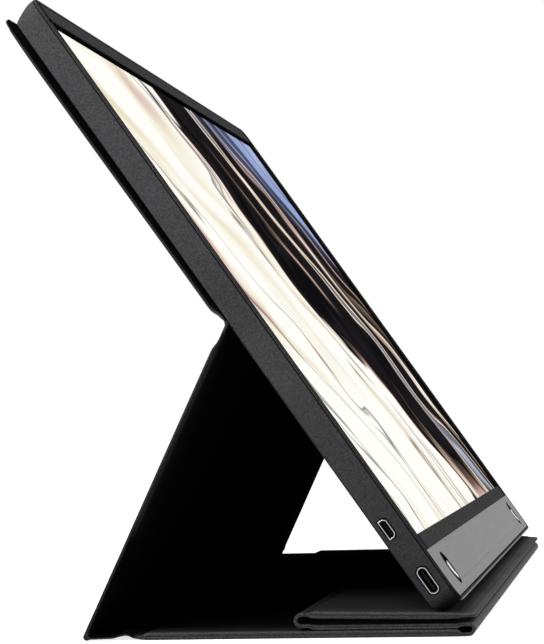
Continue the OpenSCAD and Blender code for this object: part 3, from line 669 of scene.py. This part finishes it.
# Lit and shaded copies of the leather and microfibre: the standing panels' dark edges and nap are
# painted shade, and the lying panels' paler ones painted light; the specks at the cut edges are also
# wear
skin = leather("cover_leather", (0.024, 0.024, 0.025))
lying_skin = leather("cover_leather_worn_and_lit", (0.05, 0.05, 0.052))
nap_black, nap_dark = (0.0015, 0.0015, 0.002), grey(0.002)
worn_lit_dim, worn_lit_pale = (0.011, 0.011, 0.012), (0.085, 0.085, 0.088)
lining = microfibre("cover_microfibre", nap_black, worn_lit_dim, worn_lit_dim)
upper_lining = microfibre("cover_microfibre_shaded", nap_black, nap_dark, nap_dark)
lying_lining = microfibre("cover_microfibre_worn_and_lit", nap_black, (0.034, 0.034, 0.035), worn_lit_pale)
open_lining = microfibre("cover_microfibre_lit_open", (0.021, 0.021, 0.022), (0.040, 0.040, 0.041),
                         worn_lit_pale, front=(0.094, 0.094, 0.095))


# ---- Cover panels ----

def side_edge(x):
    """0 over the board and 1 at the sides of the cover, where only the two sheets are left."""
    return smooth((abs(x) - cover_half + SIDE_BAND) / SIDE_BEND)


def hug(x):
    """0 over the raised back of the screen and 1 at its lower side edges."""
    return min(max((abs(x) - cover_half + HUG_BAND) / HUG_BAND, 0.0), 1.0)


def rolled(d, share=0.25):
    """Share of a sheet's thickness at a distance from its cut edge, which is a little rounded."""
    return 1 - share * (1 - math.sqrt(max(0.0, 1 - (1 - min(max(d, 0) / ROLL, 1)) ** 2)))


class Panel:
    """The two sheets of a panel: their outline and their heights over the panel's middle."""

    def __init__(self, name, body, start, end, side_t, seed, materials, fine, free_end=False):
        self.name, self.body, self.seed = name, body, seed
        self.skin, self.lining = materials
        self.side_t = side_t                       # thickness at the side edges
        self.fine = fine                           # stretches with close rows of points
        self.place = PLACES[name]
        low, high = self.place.local(name + "_skin")
        self.low, self.high = low[1], high[1]
        self.start, self.end = start, end          # (thin edge, slope) at each end
        self.corner = CORNER if free_end else 0.0
        self.free_end = free_end

    def rows(self):
        """Where the rows of points lie along the panel, as shares of its length."""
        length, at = self.high - self.low, [0.0]
        while at[-1] < length - 0.6 * FINE_CELL:
            s = self.low + at[-1]
            close = any(a <= s < b for a, b in self.fine)
            ahead = [a - s for a, _ in self.fine if a > s]
            at.append(at[-1] + (FINE_CELL if close else min([CELL] + ahead)))
        return [a / at[-1] for a in at]

    def edge_distance(self, x, s):
        """Distance to the nearest cut edge."""
        side, end = cover_half - abs(x), self.high - s
        if not self.free_end:
            return side
        in_x, in_s = self.corner - side, self.corner - end
        if in_x > 0 and in_s > 0:
            return self.corner - math.hypot(in_x, in_s)
        return min(side, end)

    def lift_side(self, x):
        return smooth((cover_half - abs(x) - SEAM) / SLOPE)

    def lift_start(self, s):
        return smooth((s - self.low - self.start[0]) / self.start[1])

    def lift_end(self, s):
        return smooth((self.high - s - self.end[0]) / self.end[1])

    def lift(self, x, s):
        """0 on the thin edges and 1 over the board."""
        return self.lift_side(x) * self.lift_start(s) * self.lift_end(s)

    def lift_folds(self, s, side):
        """0 on the thin edges beside the folds and 1 between them, on the skin's or lining's side."""
        return self.lift_start(s) * self.lift_end(s)

    def full_side(self, x, s, side):
        """0 where the panel has its side edges' thickness and 1 where it has its full one."""
        return self.lift_side(x)

    def rounding(self, side):
        """Share of the thickness that is rounded off at the cut edges."""
        return 0.25

    def shift(self, x, s):
        """How far both sheets lie from the panel's middle, towards the lining."""
        return 0.0

    def outer(self, x, s, side):
        """Half the panel's thickness, on the skin's side (-1) or the lining's (1)."""
        d = self.edge_distance(x, s)
        full = self.side_t + (THICK - self.side_t) * self.full_side(x, s, side)
        height = (SHEET + (full - SHEET) * self.lift_folds(s, side)) / 2
        height *= rolled(d, self.rounding(side))
        height -= PRESS_DEEP * math.exp(-((d - PRESS_IN) / 0.35) ** 2)
        slow = self.lift(x, s) * SLOW_RISE * wander(x, s, SLOW_WAVE, self.seed + side)
        return height + slow + QUICK_RISE * wander(x, s, QUICK_WAVE, self.seed + side + 3)

    def heights(self, x, s, side):
        """The outer and inner height of one sheet. At the cut edge the two sheets part a little."""
        middle = self.shift(x, s)
        parting = PART * math.exp(-(self.edge_distance(x, s) / 0.2) ** 2)
        inner = 0.01 + POCKET * self.lift(x, s) + parting
        return middle + side * self.outer(x, s, side), middle + side * inner


class UpperPanel(Panel):
    """It tucks in towards the screen at the back crease, and its sides stand off at the free end."""

    def shift(self, x, s):
        tuck = TUCK + TUCK_UPPER * hug(x)
        side = side_edge(x) * (LEAN_IN - STAND_OFF * smooth(s / 100))
        lift = self.lift_start(s)
        return tuck * (1 - lift) + side * lift


class LegPanel(Panel):
    """It tucks in at the back crease too, and is full and round at its foot."""

    def shift(self, x, s):
        tuck = TUCK + TUCK_LEG * hug(x)
        curl = NEAR_CURL * (s - CURL_FROM) if x < 0 else FAR_CURL
        side = side_edge(x) * curl * smooth(s / 12)
        lift = self.lift_end(s)
        return tuck * (1 - lift) + side * lift

    def lift_folds(self, s, side):
        """The skin's side has no thin edge at the foot."""
        return self.lift_end(s) * (self.lift_start(s) if side > 0 else 1.0)

    def full_side(self, x, s, side):
        """On the skin's side the foot is full up to the cut edges."""
        foot = 1 - smooth((s - FOOT_FULL) / FOOT_FADE) if side < 0 else 0.0
        return max(self.lift_side(x), foot)


class BasePanel(Panel):
    """Behind its board it goes on as the thin spine, which cockles up at the ports' side."""

    def shift(self, x, s):
        at, height = zip(*COCKLE)
        k = min(max(sum(s > a for a in at), 1), len(at) - 1)
        t = smooth((s - at[k - 1]) / (at[k] - at[k - 1]))
        cockle = height[k - 1] + (height[k] - height[k - 1]) * t
        sag = SPINE_SAG * smooth((s - SAG_FROM) / 1.6)
        near = smooth((1 - x / cover_half) / 2)
        droop = FRONT_DROOP * (1 - self.lift_start(s))
        return near * cockle + (1 - near) * sag - droop

    def rounding(self, side):
        return 0.25 if side > 0 else 0.05          # flat on the table


class MiddleFlap(Panel):
    """Its side edges hang down a little between the base and the front flap."""

    def shift(self, x, s):
        return FLAP_DROOP * side_edge(x) * self.lift_folds(s, 1)


# Each panel's body, thin edge and slope at its two ends, thickness at the sides, seed of its
# unevenness, skin and lining, and stretches with close rows of points
PANELS = {p.name: p for p in (
    UpperPanel("upper", "screen", (1.9, 4.6), EDGE, 1.8, 10,
               (skin, upper_lining), [(1.2, 10.8)], free_end=True),
    LegPanel("leg", "leg", (0.15, 0.65), (2.5, 4.2), 1.9, 20,
             (skin, lining), [(1.2, 13.2), (92, 103)]),
    BasePanel("base", "base", PLAIN, (16.5, SLOPE), 2.15, 30,
              (lying_skin, lying_lining), [(1.2, 4.8), (94, 116)]),
    MiddleFlap("middle_flap", "middle_flap", PLAIN, PLAIN, 1.3, 40,
               (lying_skin, lying_lining), [(1.2, 4.8), (46, 50)]),
    Panel("front_flap", "front_flap", PLAIN, EDGE, 2.1, 50,
          (lying_skin, open_lining), [(1.2, 4.8)], free_end=True),
)}
# Rings of points round a sheet: 0 to 1 over its thin edge, to 2 up its slope and to 3 inside
RING_STEPS = [0, 0.02, 0.05, 0.1, 0.2, 0.34, 0.43, 0.5, 0.57, 0.64, 0.71, 0.78, 0.86, 0.93, 1,
              1.14, 1.3, 1.5, 1.7, 1.86, 2, 2.5, 3]


def ring(panel, t):
    """Insets of one ring: t runs 0..1 over the thin edge, 1..2 up the slope, 2..3 inside."""
    def inset(rim, slope):
        return rim * min(t, 1) + slope * min(max(t - 1, 0), 1) + MARGIN * max(t - 2, 0)
    side, first, last = inset(SEAM, SLOPE), inset(*panel.start), inset(*panel.end)
    return side, first, last, max(panel.corner - min(side, last), 0)


def corner_arc(x, s, radius, first):
    """Points round a quarter of a circle, from an angle in quarter turns, without the last one."""
    angles = [math.pi / 2 * (first + i / ARC_STEPS) for i in range(ARC_STEPS)]
    return [(x + radius * math.cos(a), s + radius * math.sin(a)) for a in angles]


def ring_points(panel, t, nx, rows):
    """The points of one ring, in the same order on every ring."""
    side, first, last, radius = ring(panel, t)
    w, lo, hi = cover_half - side, panel.low + first, panel.high - last
    points = [(-w + 2 * w * i / nx, lo) for i in range(nx)]
    points += [(w, lo + (hi - radius - lo) * f) for f in rows[:-1]]
    points += corner_arc(w - radius, hi - radius, radius, 0)
    points += [(w - radius - 2 * (w - radius) * i / nx, hi) for i in range(nx)]
    points += corner_arc(radius - w, hi - radius, radius, 1)
    return points + [(-w, lo + (hi - radius - lo) * f) for f in rows[:0:-1]]


def sheet_layer(panel, nx):
    """Flat points and faces of one layer: rings round a middle grid, and the rings' length."""
    points, faces, rows = [], [], panel.rows()
    for t in RING_STEPS:
        points += ring_points(panel, t, nx, rows)
    count = len(points) // len(RING_STEPS)
    for k in range(len(RING_STEPS) - 1):
        for i in range(count):
            a, b = k * count + i, k * count + (i + 1) % count
            faces.append((a, b, b + count, a + count))
    side, first, last, _ = ring(panel, RING_STEPS[-1])
    w, lo, hi = cover_half - side, panel.low + first, panel.high - last
    start = len(points)
    for f in rows:
        points += [(-w + 2 * w * i / nx, lo + (hi - lo) * f) for i in range(nx + 1)]
    for j in range(len(rows) - 1):
        for i in range(nx):
            a = start + j * (nx + 1) + i
            faces.append((a, a + 1, a + nx + 2, a + nx + 1))
    return points, faces, count


def build_sheet(name, panel, side, material):
    """A closed sheet on one side of a panel: side 1 is the lining and -1 the outer skin."""
    nx = round(2 * cover_half / CELL)
    flat, faces, count = sheet_layer(panel, nx)
    heights = [panel.heights(x, s, side) for x, s in flat]
    verts = [panel.place.at(x, s, h[which]) for which in (0, 1) for (x, s), h in zip(flat, heights)]
    worn_and_lit = [smooth(1 - panel.edge_distance(x, s) / EDGE_REACH) for x, s in flat] * 2
    total = len(flat)
    faces += [tuple(total + i for i in reversed(f)) for f in faces]
    faces += [(i, total + i, total + (i + 1) % count, (i + 1) % count) for i in range(count)]
    obj = mesh_object(name, verts, faces, [material])
    mark_edges(obj, verts, worn_and_lit)
    return obj


def mark_edges(obj, verts, values):
    """Stores how near each point is to a cut edge, for the wear and the painted edge light in the
    material.
    """
    near = {tuple(round(c * 1e6) for c in v): e for v, e in zip(verts, values)}
    found = [near.get(tuple(round(c * 1e6) for c in v.co), 0.0) for v in obj.data.vertices]
    obj.data.attributes.new("edge", "FLOAT", "POINT").data.foreach_set("value", found)


def make_panels(folds):
    for panel in PANELS.values():
        for side, layer, material in ((-1, "skin", panel.skin), (1, "lining", panel.lining)):
            piece = build_sheet(f"{panel.name}_{layer}_sheet", panel, side, material)
            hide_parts(f"{panel.name}_{layer}")
            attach(piece, panel.body)


# ---- Folds ----

def stations():
    """Places along X for a fold's sections, close together near its two cut edges."""
    inner = cover_half - EDGE_STEPS[-1]
    count = round(2 * inner / FOLD_CELL)
    middle = [-inner + 2 * inner * i / count for i in range(count + 1)]
    edge = [cover_half - d for d in EDGE_STEPS[:-1]]
    return [-x for x in edge] + middle + edge[::-1]


def section(profile, x, seed):
    """A fold's closed side view at x: the skin's line, then the lining's line back."""
    outside, inside = (np.array(line) for line in profile(x))
    middle = (outside + inside) / 2
    steps = len(outside)
    fade = np.array([smooth(5 * min(i, steps - 1 - i) / (steps - 1)) for i in range(steps)])
    ripple = np.array([wander(x, i * 0.6, 7, seed) for i in range(steps)]) * fade * 0.05 * MM
    gap = outside - middle
    unit = gap / np.linalg.norm(gap, axis=1)[:, None]
    gap = gap * rolled(cover_half - abs(x)) + unit * ripple[:, None]
    return np.concatenate([middle + gap, (middle - gap)[::-1]])


def build_fold(name, profile, seed, materials):
    """A strip along X. profile(x) gives the skin's line and the lining's in the side view."""
    xs = stations()
    sections = [section(profile, x, seed) for x in xs]
    loop = len(sections[0])
    steps = loop // 2
    verts = [(x * MM, *q) for x, points in zip(xs, sections) for q in points]
    worn_and_lit = [smooth(1 - (cover_half - abs(x)) / EDGE_REACH) for x in xs for _ in range(loop)]
    faces, slots = [], []
    for c in range(len(xs) - 1):
        for k in range(loop):
            a, b = c * loop + k, c * loop + (k + 1) % loop
            faces.append((a, b, b + loop, a + loop))
            slots.append(0 if k < steps - 1 else 1)
    for start in (0, (len(xs) - 1) * loop):
        for k in range(steps - 1):
            faces.append(tuple(start + i for i in (k, k + 1, loop - 2 - k, loop - 1 - k)))
            slots.append(0)
    obj = mesh_object(name, verts, faces, materials, slots)
    mark_edges(obj, verts, worn_and_lit)
    return obj


def hand_over(piece, node, body_a, body_b, start, end):
    """A fold stands for its CAD node, which is hidden; the fold's mesh stays where it was built."""
    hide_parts(node)
    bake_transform(piece)
    return piece


def between(a, b, steps):
    """Points from a towards b, without b."""
    a, b = np.array(a), np.array(b)
    return [a + (b - a) * i / steps for i in range(steps)]


def arc(centre, radius, first, last, steps):
    """Points on an arc in the side view, angles in degrees."""
    turn = [math.radians(first + (last - first) * i / steps) for i in range(steps + 1)]
    return [centre + radius * MM * np.array([math.cos(a), math.sin(a)]) for a in turn]


def crossing(a, run_a, b, run_b):
    """Where two lines of the side view cross."""
    t = np.linalg.solve(np.array([run_a, -run_b]).T, b - a)
    return a + run_a * t[0]


def back_crease():
    """The crease behind the screen: a straight run from either panel and a round corner."""
    leg, upper = PLACES["leg"], PLACES["upper"]
    leg_end, round_from = PANELS["leg"].high, 1.1 * MM

    def side_line(x, n):
        a = np.array(leg.at(0, leg_end, TUCK + TUCK_LEG * hug(x) + n)[1:])
        b = np.array(upper.at(0, FOLD_END, TUCK + TUCK_UPPER * hug(x) + n)[1:])
        corner = crossing(a, leg.s, b, upper.s)
        near_a, near_b = corner - leg.s * round_from, corner + upper.s * round_from
        bend = [near_a * (1 - t) ** 2 + corner * 2 * t * (1 - t) + near_b * t ** 2
                for t in np.linspace(0, 1, 9)]
        return between(a, near_a, 3) + bend[:-1] + between(near_b, b, 3) + [b]

    def lines(x):
        return side_line(x, -SHEET / 2), side_line(x, SHEET / 2)

    piece = build_fold("back_crease_sheet", lines, 71, [skin, upper_lining])
    start, end = leg.at(0, leg_end, 0)[1:], upper.at(0, FOLD_END, 0)[1:]
    return hand_over(piece, "back_crease", "leg", "screen", start, end)


def leg_crease():
    """The roll at the foot of the leg: full and round outside, and a sharp crease inside."""
    base, leg = PLACES["base"], PLACES["leg"]
    base_end, leg_start = PANELS["base"].high, PANELS["leg"].low
    lean = math.degrees(math.atan2(leg.s[1], leg.s[0]))
    half = SHEET / 2
    toe = -125           # where the round outside ends, in degrees

    def lines(x):
        shift = PANELS["base"].shift(x, base_end)
        outside = [leg.at(0, leg_start, -THICK / 2)[1:]]
        outside += arc(fold_line("leg_fold"), THICK / 2, lean - 90, toe, 14)
        outside += [base.at(0, base_end, shift - half)[1:]]
        a = np.array(leg.at(0, leg_start, half)[1:])
        b = np.array(base.at(0, base_end, shift + half)[1:])
        corner = crossing(a, leg.s, b, base.s)
        return outside, between(a, corner, 8) + between(corner, b, 8) + [b]

    piece = build_fold("leg_crease_sheet", lines, 81, [skin, lining])
    start, end = base.at(0, base_end, 0)[1:], leg.at(0, leg_start, 0)[1:]
    return hand_over(piece, "leg_crease", "base", "leg", start, end)


def half_turn(centre, radius, side, steps=14):
    """A line that turns back on itself, from below to above, open towards +Y or -Y."""
    reach = np.array([side * FOLD_END * MM, 0.0])
    drop = np.array([0.0, radius * MM])
    low, high = centre - drop, centre + drop
    bend = arc(centre, radius, -90, -90 - side * 180, steps)
    return between(low + reach, low, 2) + bend + between(high + reach, high, 2)[::-1]


def turned_fold(name, node, centre, radius, side, bodies, seed, lining, droop=0.0):
    """A fold of half a turn: on the front one the skin is outside, and on the rear one inside.

    droop is how far its lower half hangs down."""
    skin_radius, lining_radius = radius + side * SHEET / 2, radius - side * SHEET / 2
    lines = [half_turn(centre, r, side) for r in (skin_radius, lining_radius)]
    for line in lines:
        for i, point in enumerate(line):
            point[1] -= droop * MM * (1 - smooth(2 * i / (len(line) - 1)))
    piece = build_fold(name, lambda x: lines, seed, [lying_skin, lining])
    drop = np.array([0.0, radius * MM])
    return hand_over(piece, node, *bodies, centre - drop, centre + drop)


def make_folds():
    """The four folds, by the panel whose outer skin each one belongs to."""
    names = ("base", "middle_flap", "front_flap")
    base, middle, upper = (PLACES[name].origin[1] / MM for name in names)
    front, rear = fold_line("middle_flap_fold"), fold_line("front_flap_fold")
    return {
        "upper": back_crease(),
        "leg": leg_crease(),
        "base": turned_fold("front_fold_sheet", "front_fold", front, (middle - base) / 2, 1,
                            ("base", "middle_flap"), 91, lying_lining, FRONT_DROOP),
        "middle_flap": turned_fold("rear_fold_sheet", "rear_fold", rear, (upper - middle) / 2, -1,
                                   ("middle_flap", "front_flap"), 95, open_lining),
    }


make_panels(make_folds())


# ---- Camera, lights and floor ----

def look(position, yaw, pitch, roll):
    """A camera's matrix from its place and its angles in degrees; yaw 0 looks along +X."""
    y, p, r = (math.radians(a) for a in (yaw, pitch, roll))
    forward = Vector((math.cos(p) * math.cos(y), math.cos(p) * math.sin(y), math.sin(p)))
    right = forward.cross(Vector((0, 0, 1))).normalized()
    top = right.cross(forward)
    across = math.cos(r) * right + math.sin(r) * top
    upward = -math.sin(r) * right + math.cos(r) * top
    turn = Matrix((across, upward, -forward)).transposed().to_4x4()
    return Matrix.Translation(position) @ turn


def make_camera():
    """The photo's camera: low, at the ports' side, and fitted to the screen's and cover's edges."""
    focal_px, picture_px, sensor = 2212.0, 644.0, 36.0
    data = bpy.data.cameras.new("camera")
    data.sensor_width = sensor
    data.lens = focal_px / picture_px * sensor
    data.clip_start, data.clip_end = 0.02, 20
    camera = add_object("camera", data)
    place = Vector((-0.8386, -0.1074, 0.0708))
    camera.matrix_world = look(place, yaw=9.744, pitch=2.11, roll=-1.689)
    bpy.context.scene.camera = camera


def area_light(name, place, aim, size, power):
    data = bpy.data.lights.new(name, "AREA")
    data.shape = "DISK"
    data.size, data.energy = size, power
    light = add_object(name, data)
    light.location = place
    light.rotation_mode = "QUATERNION"
    light.rotation_quaternion = (Vector(aim) - Vector(place)).to_track_quat("-Z", "Y")


def sees_white(tree):
    """1 for the rays that show the stage, also in metal and glass, and 0 for those that light."""
    rays = add_node(tree, "LightPath").outputs
    seen = rays["Is Camera Ray"]
    for ray in ("Is Glossy Ray", "Is Transmission Ray"):
        seen = add_node(tree, "Math", {0: seen, 1: rays[ray]}, operation="MAXIMUM").outputs[0]
    return seen


def make_world():
    """Soft white light from all round, and plain white where it is seen."""
    world = bpy.data.worlds.new("world")
    bpy.context.scene.world = world
    world.use_nodes = True
    tree = world.node_tree
    soft, white = tree.nodes["Background"], add_node(tree, "Background")
    for background, strength in ((soft, 0.34), (white, 1.0)):
        background.inputs["Color"].default_value = (1, 1, 1, 1)
        background.inputs["Strength"].default_value = strength
    mix = add_node(tree, "MixShader", {0: sees_white(tree), 1: soft.outputs[0], 2: white.outputs[0]})
    tree.links.new(mix.outputs[0], tree.nodes["World Output"].inputs["Surface"])


def make_floor():
    """A white floor that keeps the object's shadow. Its glow is only seen and lights nothing."""
    size = 6.0
    mesh = bpy.data.meshes.new("floor")
    corners = [(-size, -size, 0), (size, -size, 0), (size, size, 0), (-size, size, 0)]
    mesh.from_pydata(corners, [], [(0, 1, 2, 3)])
    floor = add_object("floor", mesh)
    floor.location.z = -0.02 * MM              # a hair under the base panel
    m = Mat("floor_white", grey(0.8), 0.9, Specular_IOR_Level=0.0)
    glow = m.node("Emission", {"Strength": 0.77}).outputs[0]
    paint = m.node("BsdfDiffuse", {"Color": (0.7, 0.7, 0.7, 1)}).outputs[0]
    both = m.node("AddShader", {0: glow, 1: paint}).outputs[0]
    mix = m.node("MixShader", {0: sees_white(m.tree), 1: m.shader.outputs[0], 2: both})
    m.tree.links.new(mix.outputs[0], m.tree.nodes["Material Output"].inputs["Surface"])
    mesh.materials.append(m.material)


make_camera()
make_world()
make_floor()
area_light("front", (0.35, -1.15, 0.85), (0, -0.03, 0.06), 0.6, 9)
area_light("side", (-0.44, 0.2, 0.44), (-0.18, 0.05, 0.14), 0.25, 2.2)
area_light("back", (-0.3, 0.95, 0.8), (0, 0.05, 0.12), 0.6, 2.5)

bpy.context.scene.view_settings.view_transform = "Standard"
